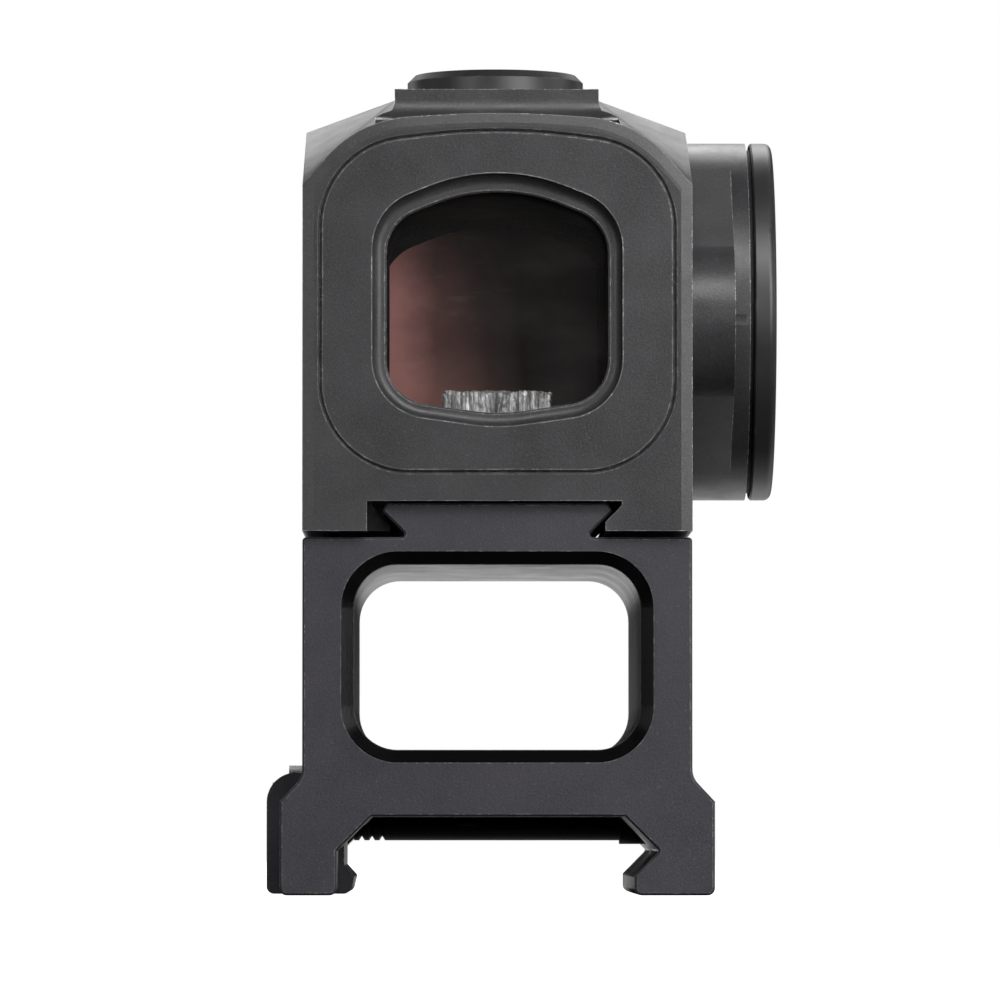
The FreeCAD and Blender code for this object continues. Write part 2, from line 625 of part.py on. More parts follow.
def housing_inside(body):
    """The bore, the board's slot and the adjusters' pockets."""
    along_y(body, bore_outline(), "sight_rear", "sight_front - sight_rear", "Pocket")
    slot_half = "board_half + board_room"
    slot = box_corners(f"-({slot_half})", "board_low - fit", slot_half, "bore_low + past")
    along_y(body, slot, "sight_rear", "board_front - sight_rear + 2", "Pocket")
    nut = "lift_nut_half + 0.8"
    along_z(body, box_corners(f"-({nut})", f"cell_y - ({nut})", nut, f"cell_y + {nut}", "past"),
            "bore_high - past", "lift_nut_room + past", "Pocket")
    round_along(body, "Z", "0", "cell_y", "collar_radius + fit", "bore_high", "6", "Pocket")
    side = "side_nut_half + play"
    along_x(body, box_corners(f"windage_y - ({side})", f"nose_z - ({side})",
                              f"windage_y + {side}", f"nose_z + {side}", "past"),
            "bore_half - past", "side_nut_room + past", "Pocket")
    round_along(body, "X", "windage_y", "nose_z", "side_screw + fit", "bore_half", "8", "Pocket")
    round_along(body, "X", "windage_y", "nose_z", "side_head + fit", "fairing_face - side_sink",
                "3", "Pocket")
    for across, along in BOARD_SCREWS:
        round_along(body, "Z", across, along, "board_screw + fit", "board_low - board_screw_depth",
                    "1.2", "Pocket")


def housing_battery(body):
    """The cell's well and the wider, threaded mouth for the cap's skirt."""
    round_along(body, "X", "cell_y", "cell_z", "cell_radius + cell_room", "well_floor",
                "boss_face - well_floor + past", "Pocket")
    round_along(body, "X", "cell_y", "cell_z", "boss_radius - mouth_wall", "mouth_floor",
                "boss_face - mouth_floor + past", "Pocket")


def housing_keypad(body):
    """A shallow recess on the left side with two wells for the switches."""
    ends = box_corners("key_y - pad_half_y", "key_z - pad_half_z", "key_y + pad_half_y",
                       "key_z + pad_half_z", "pad_half_z - 0.1")
    along_x(body, ends, "-half_width - past", "pad_depth + past", "Pocket")
    for side in SIDES:
        round_along(body, "X", f"key_y + {side} * key_pitch", "key_z", "switch_radius + 0.4",
                    "-half_width + past", "pad_depth + switch_depth - past", "Pocket")


def housing_underside(body):
    """Dovetail groove with one fixed jaw, and the pocket of the clamp bar."""
    length = "sight_front - sight_rear"
    below = "sight_base - past"
    jaw = [("-groove_left", below), ("-groove_left", "groove_top"), ("groove_right", "groove_top")]
    jaw += [("groove_right", "sight_base + jaw_high"), ("jaw_tip", "sight_base + jaw_low")]
    jaw += [("jaw_tip", below)]
    along_y(body, list(reversed(jaw)), "sight_rear", length, "Pocket")
    along_z(body, box_corners("-clamp_pocket_out", "sight_rear + clamp_set", "-clamp_pocket_in",
                              "sight_front - clamp_set"), below, "clamp_room + past", "Pocket")
    for station in SET_SCREWS.values():
        round_along(body, "X", station, "set_screw_z", "set_screw + fit", "-half_width - past", "3",
                    "Pocket")


def make_housing():
    body = new_body("sight_housing")
    housing_shell(body)
    housing_recesses(body)
    housing_inside(body)
    housing_battery(body)
    housing_keypad(body)
    housing_underside(body)
    return body


# ---------------------------------------------------------------- optics

def make_bezel(label, start, thick, lens_side, face, inward):
    """A bezel: plate with a hollow-lipped window and a seat for the lens at its back."""
    body = new_body(label)
    along_y(body, bezel_outline("bezel_gap"), start, thick)
    dress(body, "Chamfer", "seam_break", flat_at("Y", face))
    floor = f"{face} + {inward} * lip_depth"
    along_y(body, pane_outline("lip", "lip_lift"), face if inward > 0 else floor, "lip_depth",
            "Pocket")
    dress(body, "Fillet", "lip_round", flat_at("Y", floor))
    along_y(body, pane_outline(), start, thick, "Pocket")
    inner_low = (value("-pane_half - fit"), -FAR, value("pane_foot"))
    inner_high = (value("pane_half + fit"), FAR, value("pane_crown"))
    dress(body, "Chamfer", "seam_break", flat_at("Y", floor, inner_low, inner_high))
    along_y(body, lens_outline(), lens_side, "lens_thick + fit", "Pocket")
    return body


def make_optics():
    make_bezel("rear_bezel", "sight_rear", "bezel_depth",
               "sight_rear + bezel_depth - lens_thick - fit", "sight_rear", 1)
    make_bezel("front_bezel", "sight_front - hood_depth", "hood_depth",
               "sight_front - hood_depth", "sight_front", -1)
    for label, start in (("rear_lens", "sight_rear + bezel_depth - lens_thick"),
                         ("front_lens", "sight_front - hood_depth")):
        body = new_body(label)
        along_y(body, lens_outline("fit"), start, "lens_thick")
    for label, start in (("rear_lens_seal", "sight_rear + bezel_depth"),
                         ("front_lens_seal", "sight_front - hood_depth - gasket")):
        body = new_body(label)
        sketch = outline(new_sketch(body, "XZ", start), bezel_outline("seal_set"))
        outline(sketch, pane_outline("seal_set / 2"))
        extrude(body, sketch, "gasket", flip=True)


def make_carriage():
    """The sleeve shifted by the two adjusters; an arched stop closes its far end."""
    body = new_body("optics_carriage")
    start = "sight_rear + bezel_depth + gasket + carriage_end"
    length = f"sight_front - hood_depth - gasket - carriage_end - ({start})"
    along_y(body, bore_outline("play", "bore_round - play"), start, length)
    hollow = bore_outline("play + carriage_wall", "bore_round - play - carriage_wall")
    along_y(body, hollow, start, f"{length} - stop_thick", "Pocket")
    stop = arched("stop_half", "stop_low", "stop_high", "stop_crown", "stop_round", "stop_arch")
    along_y(body, stop, start, length, "Pocket")
    spring = new_body("carriage_spring")
    leaf = box_corners("-leaf_half", "leaf_rear", "leaf_half", "leaf_front")
    along_z(spring, leaf, "bore_low + rest_gap", "leaf_thick")


def make_emitter():
    """Machined block on the carriage's floor with the light source on its far face."""
    body = new_body("emitter_block")
    floor = "bore_low + play + carriage_wall"
    top = f"{floor} + block_high"
    section = [("-block_half", floor), ("block_half", floor), ("block_half", f"{top} - block_break")]
    section += [("block_half - block_break", top), ("-block_half + block_break", top)]
    section += [("-block_half", f"{top} - block_break")]
    along_y(body, section, "block_rear", "block_long")
    led = new_body("emitter_led")
    led_at = "block_rear + block_long"
    round_along(led, "Y", "0", f"{floor} + led_high", "led_radius", led_at, "led_thick")
    dress(led, "Fillet", "led_radius / 2 - fit", flat_at("Y", f"{led_at} + led_thick"))


def make_board():
    """Circuit board under the bore, and its two screws in one node."""
    body = new_body("circuit_board")
    along_z(body, box_corners("-board_half", "board_rear", "board_half", "board_front"),
            "board_low", "board_thick")
    screws = []
    top = value("board_low + board_thick") + 0.02
    for across, along in BOARD_SCREWS:
        round_along(body, "Z", across, along, "board_screw + fit", "board_low - past", "3", "Pocket")
        spot = Vector(value(across), value(along), 0)
        foot = value("board_low - board_screw_depth") + 0.1
        shank = Part.makeCylinder(value("board_screw"), top - foot, spot + UP * foot)
        head = Part.makeCylinder(value("board_screw_head"), 0.5, spot + UP * top)
        slot = Part.makeBox(2.4, 0.3, 0.25, spot + Vector(-1.2, -0.15, top + 0.25))
        screws.append(shank.fuse(head).cut(slot).removeSplitter())
    node = doc.addObject("Part::Feature", "board_screws")
    node.Label = "board_screws"
    node.Shape = Part.makeCompound(screws)


# ---------------------------------------------------------------- battery

def make_battery():
    """Coin cell with its stepped negative face, and the two contacts."""
    cell = new_body("battery")
    round_along(cell, "X", "cell_y", "cell_z", "cell_radius - 2 * cell_step", "cell_face",
                "cell_step + fit")
    round_along(cell, "X", "cell_y", "cell_z", "cell_radius", "cell_face + cell_step",
                "cell_thick - cell_step")
    dress(cell, "Fillet", "cell_step", flat_at("X", "cell_face + cell_thick"))
    leaf = new_body("negative_contact")
    along_x(leaf, box_corners("cell_y - 5", "cell_z - 1.5", "cell_y + 5", "cell_z + 1.5", "1.2"),
            "well_floor + rest_gap", "contact_thick")
    clip = new_body("positive_contact")
    along_x(clip, box_corners("cell_y - 2", "cell_z + cell_radius + 3 * rest_gap",
                              "cell_y + 2", "cell_z + cell_radius + 0.19"),
            "well_floor + rest_gap", "1.2")


def make_cap():
    """Disc cap with a threaded skirt, a coin slot and a domed edge, and its seal."""
    body = new_body("battery_cap")
    disc = "boss_face + cap_gap"
    round_along(body, "X", "cell_y", "cell_z", "boss_radius", disc, "cap_face - boss_face - cap_gap")
    tube_along(body, "X", "cell_y", "cell_z",
               ("boss_radius - mouth_wall - 2 * fit", "cell_radius + cell_room + fit"),
               "mouth_floor + 0.15", "boss_face + cap_gap - mouth_floor - 0.15")
    dress(body, "Fillet", "cap_round", flat_at("X", "cap_face"))
    dress(body, "Chamfer", "seam_break", round_at("X", disc, "boss_radius"))
    coin_slot(body, "X", "cell_y", "cell_z", "cap_slot_half", "cap_slot_wide", "cap_face")
    seal = new_body("battery_cap_seal")
    tube_along(seal, "X", "cell_y", "cell_z",
               ("boss_radius - mouth_wall + 0.35", "boss_radius - mouth_wall - 0.08"),
               "boss_face + 2 * rest_gap", "cap_gap - 4 * rest_gap")


def coin_slot(body, axis, across, up, half, wide, face):
    """A straight slot with round ends, cut into an outer face."""
    corners = box_corners(f"{across} - {half}", f"{up} - {wide} / 2", f"{across} + {half}",
                          f"{up} + {wide} / 2", f"{wide} / 2 - fit")
    cut = {"X": along_x, "Z": along_z}[axis]
    cut(body, corners, f"{face} - slot_depth", "slot_depth + past", "Pocket")


# ---------------------------------------------------------------- adjusters

def make_elevation():
    """Top dial, its lead screw, seal and the nut that sets the carriage's height."""
    dial = new_body("elevation_dial")
    low = "ridge_top + dial_gap"
    round_along(dial, "Z", "0", "cell_y", "dial_radius - dial_step", low, "0.4")
    round_along(dial, "Z", "0", "cell_y", "dial_radius", "ridge_top + 0.4",
                "dial_top - ridge_top - 0.4")
    dress(dial, "Chamfer", "dial_break", flat_at("Z", "dial_top"))
    coin_slot(dial, "Z", "0", "cell_y", "dial_slot_half", "dial_slot_wide", "dial_top")
    screw = new_body("elevation_screw")
    round_along(screw, "Z", "0", "cell_y", "collar_radius", "collar_low", f"{low} - collar_low")
    round_along(screw, "Z", "0", "cell_y", "lift_screw", "lift_screw_low",
                "collar_low - lift_screw_low + 0.1")
    nut = new_body("elevation_nut")
    along_z(nut, box_corners("-lift_nut_half", "cell_y - lift_nut_half", "lift_nut_half",
                             "cell_y + lift_nut_half", "0.6"),
            "bore_high - play + 2 * rest_gap", "lift_nut_thick")
    round_along(nut, "Z", "0", "cell_y", "lift_screw + fit", "bore_high", "4", "Pocket")
    seal = new_body("elevation_seal")
    tube_along(seal, "Z", "0", "cell_y", ("collar_radius + 0.9", "collar_radius + 2 * fit"),
               "ridge_top + rest_gap", "dial_gap - 3 * rest_gap")


def make_windage():
    """Side screw, its seal and the nut that sets the carriage sideways."""
    screw = new_body("windage_screw")
    head = "fairing_face - side_sink + side_seal"
    face = f"{head} + side_head_thick"
    round_along(screw, "X", "windage_y", "nose_z", "side_head", head, "side_head_thick")
    round_along(screw, "X", "windage_y", "nose_z", "side_screw", "bore_half + side_seal",
                f"{head} - bore_half - side_seal + 0.1")
    coin_slot(screw, "X", "windage_y", "nose_z", "side_head - 0.4", "slot_fine", face)
    nut = new_body("windage_nut")
    along_x(nut, box_corners("windage_y - side_nut_half", "nose_z - side_nut_half",
                             "windage_y + side_nut_half", "nose_z + side_nut_half", "0.5"),
            "bore_half - play + 2 * rest_gap", "side_nut_thick")
    round_along(nut, "X", "windage_y", "nose_z", "side_screw + fit", "bore_half - 0.2", "4", "Pocket")
    seal = new_body("windage_seal")
    tube_along(seal, "X", "windage_y", "nose_z", ("side_head - 0.1", "side_screw + 0.1"),
               "fairing_face - side_sink + 2 * rest_gap", "side_seal - fit")


def make_keypad():
    """Rubber pad round two buttons, and the switches under them."""
    pad = new_body("keypad")
    ends = box_corners("key_y - pad_half_y + fit", "key_z - pad_half_z + fit",
                       "key_y + pad_half_y - fit", "key_z + pad_half_z - fit", "pad_half_z - 0.15")
    along_x(pad, ends, "-half_width + pad_sink", "pad_depth - pad_sink - 2 * rest_gap")
    for side in SIDES:
        round_along(pad, "X", f"key_y + {side} * key_pitch", "key_z", "key_radius + fit",
                    "-half_width - past", "3", "Pocket")
    for label, side in zip(("minus_button", "plus_button"), SIDES):
        make_button(label, f"key_y + {side} * key_pitch")
    domes = []
    for side in SIDES:
        back = value("-half_width + pad_depth + switch_depth")
        spot = Vector(back - 0.47, value(f"key_y + {side} * key_pitch"), value("key_z"))
        domes.append(Part.makeCylinder(value("switch_radius"), 0.45, spot, Vector(1, 0, 0)))
    node = doc.addObject("Part::Feature", "button_switches")
    node.Label = "button_switches"
    node.Shape = Part.makeCompound(domes)


def make_button(label, centre):
    """A round button with a stem and a cut minus or plus sign."""
    button = new_body(label)
    face = "-half_width + fit"
    round_along(button, "X", centre, "key_z", "key_radius", face, "key_thick")
    round_along(button, "X", centre, "key_z", "key_stem", f"{face} + key_thick - 0.15", "1.3")
    dress(button, "Fillet", "key_round", flat_at("X", face))
    long = "sign_half"
    thin = "sign_wide / 2"
    bar = box_corners(f"{centre} - {long}", f"key_z - {thin}", f"{centre} + {long}", f"key_z + {thin}")
    along_x(button, bar, "-half_width", "sign_depth", "Pocket")
    if label == "plus_button":
        post = box_corners(f"{centre} - {thin}", f"key_z - {long}", f"{centre} + {thin}",
                           f"key_z + {long}")
        along_x(button, post, "-half_width", "sign_depth", "Pocket")


# ---------------------------------------------------------------- clamps and mount

def make_sight_clamp():
    """Bar that grips the dovetail's left flank, and its two set screws."""
    bar = new_body("sight_clamp")
    base = "sight_base + clamp_under"
    top = "sight_base + clamp_bar_top"
    section = [("-clamp_bar_out", base), ("-jaw_tip", base), ("-jaw_tip", "sight_base + jaw_low")]
    section += [("-clamp_bar_in", "sight_base + 1.8"), ("-clamp_bar_in", "sight_base + 2")]
    section += [("-clamp_bar_in - 0.25", top), ("-clamp_bar_out", top)]
    along_y(bar, section, "sight_rear + clamp_set + 0.2",
            "sight_front - sight_rear - 2 * clamp_set - 0.4")
    for label, station in SET_SCREWS.items():
        round_along(bar, "X", station, "set_screw_z", "set_screw + fit", "-clamp_bar_out - 0.3",
                    "set_screw_bite + 0.35", "Pocket")
        screw = new_body(label)
        round_along(screw, "X", station, "set_screw_z", "set_screw", "-half_width + pad_sink",
                    "half_width - pad_sink - clamp_bar_out + set_screw_bite")
        along_x(screw, hexagon_corners(station, "set_screw_z", "set_screw_key"),
                "-half_width - past", "2.2", "Pocket")


def hexagon_corners(across, up, radius):
    """Corners of a hex socket, as expressions."""
    corners = []
    for turn in range(6):
        angle = math.radians(60 * turn)
        corners.append((f"{across} + {radius} * {math.cos(angle):.6f}",
                        f"{up} + {radius} * {math.sin(angle):.6f}"))
    return corners


def mount_section():
    """The riser's section: legs, rail seat, column and dovetail."""
    right = [("toe_half", "foot_low", "foot_round"), ("foot_half", "foot_low", "foot_round")]
    right += [("foot_half", "flare_low"), ("half_width", "flare_high", "flare_round")]
    right += [("half_width", "plate_top", "small_round")]
    right += [("dovetail_neck", "plate_top", "0.2"), ("dovetail_neck", "plate_top + 0.3")]
    right += [("dovetail_tip", "dovetail_tip_z", "0.15")]
    right += [("dovetail_tip - 0.3", "dovetail_top", "0.3")]
    left = [(f"-({corner[0]})",) + corner[1:] for corner in reversed(right[1:])]
    left += [("-left_leg_in", "foot_low", "foot_round"), ("-left_leg_in", "vee_z")]
    left += [("-left_seat_half", "0")]
    seat = [("seat_half", "0"), ("vee_half", "vee_z", "0.2"), ("toe_half", "toe_top", "0.3")]
    return right + left + seat


def make_mount():
    body = new_body("riser_mount")
    length = "2 * mount_half_y"
    along_y(body, mount_section(), "-mount_half_y", length)
    for end in ("-mount_half_y", "mount_half_y"):
        dress(body, "Chamfer", "mount_break", flat_at("Y", end))
    window = box_corners("-window_half", "window_low", "window_half", "window_high", "window_radius")
    along_y(body, window, "-mount_half_y", length, "Pocket")
    low = (value("-window_half") - 0.1, -FAR, value("window_low") - 0.1)
    high = (value("window_half") + 0.1, FAR, value("window_high") + 0.1)
    for end in ("-mount_half_y", "mount_half_y"):
        dress(body, "Chamfer", "window_bevel", flat_at("Y", end, low, high))
    mount_clamp_room(body)
    round_along(body, "X", "0", "bolt_z", "bolt_radius + 0.1", "-16", "32", "Pocket")
    round_along(body, "X", "0", "bolt_z", "bolt_neck + fit", "seat_half - fit", "8", "Pocket")
    round_along(body, "X", "0", "bolt_z", "head_radius + fit", "head_seat - fit", "5", "Pocket")
    return body


def mount_clamp_room(body):
    """Room on the left for the sliding jaw, above and below the seat's level."""
    half = "clamp_half_y + 0.3"
    pocket = box_corners("-17", "-0.3", "-clamp_inner + fit", "clamp_top + 0.25")
    along_y(body, pocket, f"-({half})", f"2 * ({half})", "Pocket")
    under = box_corners("-17", "foot_low - past", "-8.9", "-0.1")
    along_y(body, under, f"-({half})", f"2 * ({half})", "Pocket")


def make_rail_clamp():
    """Sliding jaw on the left of the rail, threaded for the cross bolt."""
    body = new_body("rail_clamp")
    section = [("clamp_face", "clamp_low", "foot_round"), ("-9.9", "clamp_low", "0.6")]
    section += [("-9.6", "-4", "0.3"), ("-clamp_waist", "-3.25"), ("-clamp_waist", "-0.35")]
    section += [("-clamp_inner", "-0.35"), ("-clamp_inner", "clamp_top")]
    section += [("clamp_face", "clamp_top", "clamp_round")]
    along_y(body, section, "-clamp_half_y", "2 * clamp_half_y")
    round_along(body, "X", "0", "bolt_z", "clamp_hub", "-14.2", "1.15")
    round_along(body, "X", "0", "bolt_z", "bolt_radius + fit", "-16", "8", "Pocket")
    return body


def make_rail_bolt():
    """Socket head cross bolt; its ring grooves stand for the thread."""
    body = new_body("rail_bolt")
    round_along(body, "X", "0", "bolt_z", "bolt_radius", "clamp_face + 0.2", "26")
    round_along(body, "X", "0", "bolt_z", "bolt_neck", "seat_half", "head_seat - seat_half + fit")
    round_along(body, "X", "0", "bolt_z", "head_radius", "head_seat", "head_thick")
    sketch = new_sketch(body, "XZ")
    sketch.setExpression(".AttachmentOffset.Base.y", bind("bolt_z"))
    for turn in range(BOLT_TURNS):
        start = f"clamp_face + 0.5 + {turn} * bolt_pitch"
        valley = [(start, "bolt_radius + 0.1"), (f"{start} + 0.25", "bolt_radius - 0.3")]
        outline(sketch, valley + [(f"{start} + 0.5", "bolt_radius + 0.1")])
    before = body.Shape.Volume
    groove = body.newObject("PartDesign::Groove", "rail_bolt_thread")
    groove.Profile = sketch
    groove.ReferenceAxis = (sketch, ["H_Axis"])
    groove.Angle = 360
    doc.recompute()
    check_changed(body, before, grew=False)
    along_x(body, hexagon_corners("0", "bolt_z", "bolt_key"), "head_seat + 0.95", "3", "Pocket")
    return body


# ---------------------------------------------------------------- writing

def check_document():
    """Every object must be up to date."""
    for item in doc.Objects:
        if {"Invalid", "Error"} & set(item.State):
            raise RuntimeError(f"{item.Name} ({item.Label}): {item.State}")


def write_parts():
    os.makedirs("parts", exist_ok=True)
    for item in doc.Objects:
        if item.TypeId not in ("PartDesign::Body", "Part::Feature"):
            continue
        if item.getParentGeoFeatureGroup() is not None:
            continue
        shape = item.Shape
        if shape.isNull() or not shape.isValid():
            raise RuntimeError(f"{item.Label}: shape is null or not valid")
        shape.exportStep(f"parts/{item.Label}.step")
        box = shape.BoundBox
        print(f"{item.Label:26s} solids {len(shape.Solids)} volume {shape.Volume:9.2f} "
              f"X {box.XMin:.2f}..{box.XMax:.2f} Y {box.YMin:.2f}..{box.YMax:.2f} "
              f"Z {box.ZMin:.2f}..{box.ZMax:.2f}")


def main():
    make_housing()
    make_optics()
    make_carriage()
    make_emitter()
    make_board()
    make_battery()
    make_cap()
    make_elevation()
    make_windage()
    make_keypad()
    make_sight_clamp()
    make_mount()
    make_rail_clamp()
    make_rail_bolt()
    doc.recompute()
    check_document()
    write_parts()


main()
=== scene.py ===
"""Looks of an enclosed red dot sight on its riser mount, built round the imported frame."""

import math

import bpy
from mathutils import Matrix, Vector, noise


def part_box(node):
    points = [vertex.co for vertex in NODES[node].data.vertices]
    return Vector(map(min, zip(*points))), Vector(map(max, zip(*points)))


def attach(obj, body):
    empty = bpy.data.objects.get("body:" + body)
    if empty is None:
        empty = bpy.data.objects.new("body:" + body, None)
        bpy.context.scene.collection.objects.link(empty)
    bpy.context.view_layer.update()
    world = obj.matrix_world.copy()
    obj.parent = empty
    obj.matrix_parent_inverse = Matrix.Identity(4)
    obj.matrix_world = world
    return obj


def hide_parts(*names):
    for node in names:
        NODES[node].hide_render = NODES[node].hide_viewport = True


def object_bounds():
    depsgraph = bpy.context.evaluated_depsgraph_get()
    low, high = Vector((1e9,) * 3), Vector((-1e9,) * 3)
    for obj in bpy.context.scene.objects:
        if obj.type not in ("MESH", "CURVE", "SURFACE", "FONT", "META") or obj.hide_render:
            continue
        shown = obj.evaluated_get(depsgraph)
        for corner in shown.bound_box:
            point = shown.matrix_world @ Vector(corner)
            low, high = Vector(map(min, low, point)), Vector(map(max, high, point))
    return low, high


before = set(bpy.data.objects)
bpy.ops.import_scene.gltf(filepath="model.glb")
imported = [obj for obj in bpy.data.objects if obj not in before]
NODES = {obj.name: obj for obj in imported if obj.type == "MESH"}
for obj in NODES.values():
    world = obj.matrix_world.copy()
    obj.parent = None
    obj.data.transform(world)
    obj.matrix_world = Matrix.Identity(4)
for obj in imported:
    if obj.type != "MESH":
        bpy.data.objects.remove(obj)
cad_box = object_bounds()
MM = 0.001
WORLD_GLOW = 0.0
TABLE_GLOW = 1.2
FLOOR_HALF = 6.0
FLOOR_GAP = 0.02 * MM               # keeps the floor clear of the foot
PANE_HALF = 7.4 * MM                # the clear window, for the painted reflection on the lens
PANE_LOW = 27.0 * MM
PANE_HIGH = 41.5 * MM
CAMERA_PLACE = (-3.5, -570.0, -1.2)  # millimetres
CAMERA_AIM = (0.17, -20.0, 21.05)
CAMERA_RANGE = 550.0                # from the camera to the near face
CAMERA_WIDTH = 66.5                 # width seen at the near face
SENSOR = 36.0                       # width in the camera's own millimetres
GRAIN = 0.13 * MM                   # pits left by blasting: size, depth and grey, then the grey of painted highlights (glints)
PIT_DEPTH = 0.016 * MM
PIT_GREY = (0.075, 0.073, 0.076, 1.0)
GLINT_GREY = (0.16, 0.158, 0.16, 1.0)
CLOUD_SIZE = 6.0 * MM               # mottling, broad and fine
BLOTCH_SIZE = 1.8 * MM
RUB_SIZE = 2.6 * MM                 # wear along edges, and nicks in them
NICK_SIZE = 0.45 * MM
EDGE_REACH = 0.09 * MM
WORN_GREY = (0.7, 0.69, 0.69, 1.0)
CUT_ROUGHNESS = 0.17                # milled after blasting
RING_PITCH = 0.12 * MM              # turning marks
BLOCK_CELLS = (90, 16, 26)          # lattice of the milled block
GLOW_FRONT = -5.0 * MM              # the table's glow starts here and is full at the next
GLOW_BACK = 35.0 * MM
GLOW_NEAR = 5.0 * MM                # it fades to each side between these
GLOW_FAR = 110.0 * MM
GLOW_EDGE = 0.12
WINDOW_HALF = 9.55 * MM             # the riser's window, inside its bevel
WINDOW_LOW = 4.45 * MM
WINDOW_HIGH = 16.8 * MM
WINDOW_CORNER = 2.9 * MM
WINDOW_BEVEL = 0.88 * MM
# painted reflection on the front lens: its colour across the window, and a red foot low on one side
LENS_PAINTED_REFLECTION = (
    # place across the window, colour
    (0.02, (0.98, 0.46, 0.42)),
    (0.22, (0.32, 0.165, 0.15)),
    (0.48, (0.14, 0.085, 0.07)),
    (0.64, (0.18, 0.14, 0.125)),
    (0.84, (0.42, 0.39, 0.39)),
)
LENS_FOOT_REFLECTION = (0.95, 0.42, 0.34, 1.0)
HEART = (0, 0, 0.02)                # where most lights aim, in metres
LIGHTS = (
    # name, width and height in metres, watts, place, aim
    ("front_left", (0.26, 0.26), 0.75, (-0.38, -0.55, 0.16), HEART),
    ("front_low", (0.30, 0.10), 0.5, (0.24, -0.66, 0.06), HEART),
    ("front_right", (0.28, 0.28), 0.7, (0.46, -0.46, 0.16), HEART),
    ("front_high", (0.34, 0.24), 2.0, (0.10, -0.52, 0.50), HEART),
    ("side_left", (0.30, 0.30), 0.15, (-0.62, 0.02, 0.16), HEART),
    ("side_right", (0.30, 0.30), 0.5, (0.62, 0.02, 0.16), HEART),
    ("near_right", (0.05, 0.05), 0.07, (0.085, -0.13, 0.075), (0.012, -0.02, 0.03)),
    ("near_high", (0.06, 0.05), 0.04, (0.060, -0.12, 0.120), (0.008, -0.02, 0.04)),
    ("back_top", (0.36, 0.10), 0.7, (0.0, 0.44, 0.44), HEART),
    ("back_high", (0.50, 0.26), 0.9, (0.0, 0.56, 0.40), HEART),
    ("back_left", (0.26, 0.26), 0.3, (-0.42, 0.52, 0.15), HEART),
    ("back_right", (0.26, 0.26), 0.1, (0.42, 0.52, 0.15), HEART),
)


# ---------------------------------------------------------------- node helpers

class Maker:
    """Short calls for building one material's nodes."""

    def __init__(self, name):
        self.material = bpy.data.materials.new(name)
        self.material.use_nodes = True
        self.tree = self.material.node_tree
        self.tree.nodes.clear()
        self.coords = self.add("ShaderNodeTexCoord").outputs["Object"]

    def add(self, kind, **settings):
        node = self.tree.nodes.new(kind)
        for key, setting in settings.items():
            setattr(node, key, setting)
        return node

    def put(self, socket, value):
        """Link a socket to another, or give it a plain value."""
        if isinstance(value, bpy.types.NodeSocket):
            self.tree.links.new(value, socket)
        else:
            socket.default_value = value

    def stretch(self, scale, source=None):
        node = self.add("ShaderNodeMapping")
        self.put(node.inputs["Vector"], source or self.coords)
        node.inputs["Scale"].default_value = scale
        return node.outputs["Vector"]

    def noise(self, size, detail=2.0, rough=0.5, vector=None):
        """Noise whose features are about size metres across."""
        node = self.add("ShaderNodeTexNoise")
        self.put(node.inputs["Vector"], vector or self.coords)
        node.inputs["Scale"].default_value = 1.0 / size
        node.inputs["Detail"].default_value = detail
        node.inputs["Roughness"].default_value = rough
        return node.outputs["Fac"]

    def span(self, value, low, high, to_low=0.0, to_high=1.0, smooth=False):
        node = self.add("ShaderNodeMapRange")
        node.interpolation_type = "SMOOTHSTEP" if smooth else "LINEAR"
        for key, item in (("Value", value), ("From Min", low), ("From Max", high),
                          ("To Min", to_low), ("To Max", to_high)):
            self.put(node.inputs[key], item)
        return node.outputs["Result"]

    def math(self, operation, first, second=0.0):
        node = self.add("ShaderNodeMath", operation=operation)
        self.put(node.inputs[0], first)
        self.put(node.inputs[1], second)
        return node.outputs[0]

    def mix(self, factor, first, second):
        node = self.add("ShaderNodeMix", data_type="RGBA")
        self.put(node.inputs[0], factor)
        self.put(node.inputs[6], first)
        self.put(node.inputs[7], second)
        return node.outputs[2]

    def axes(self):
        node = self.add("ShaderNodeSeparateXYZ")
        self.put(node.inputs[0], self.coords)
        return node.outputs

    def bump(self, height, distance, strength):
        node = self.add("ShaderNodeBump")
        self.put(node.inputs["Height"], height)
        node.inputs["Distance"].default_value = distance
        node.inputs["Strength"].default_value = strength
        return node.outputs["Normal"]

    def edge_mask(self, radius):
        """1 where the surface turns sharply within radius, 0 on flats."""
        bevel = self.add("ShaderNodeBevel", samples=4)
        bevel.inputs["Radius"].default_value = radius
        plain = self.add("ShaderNodeNewGeometry").outputs["Normal"]
        dot = self.add("ShaderNodeVectorMath", operation="DOT_PRODUCT")
        self.put(dot.inputs[0], bevel.outputs["Normal"])
        self.put(dot.inputs[1], plain)
        return self.span(dot.outputs["Value"], 0.995, 0.85)

    def finish(self, **inputs):
        """The Principled shader, with its inputs named as keywords."""
        shader = self.add("ShaderNodeBsdfPrincipled")
        for key, item in inputs.items():
            self.put(shader.inputs[key.replace("_", " ")], item)
        output = self.add("ShaderNodeOutputMaterial")
        self.put(output.inputs["Surface"], shader.outputs["BSDF"])
        return self.material


def grey(level, warm=0.0):
    return (level * (1 + warm), level, level * (1 - warm * 0.3), 1.0)


# ---------------------------------------------------------------- materials

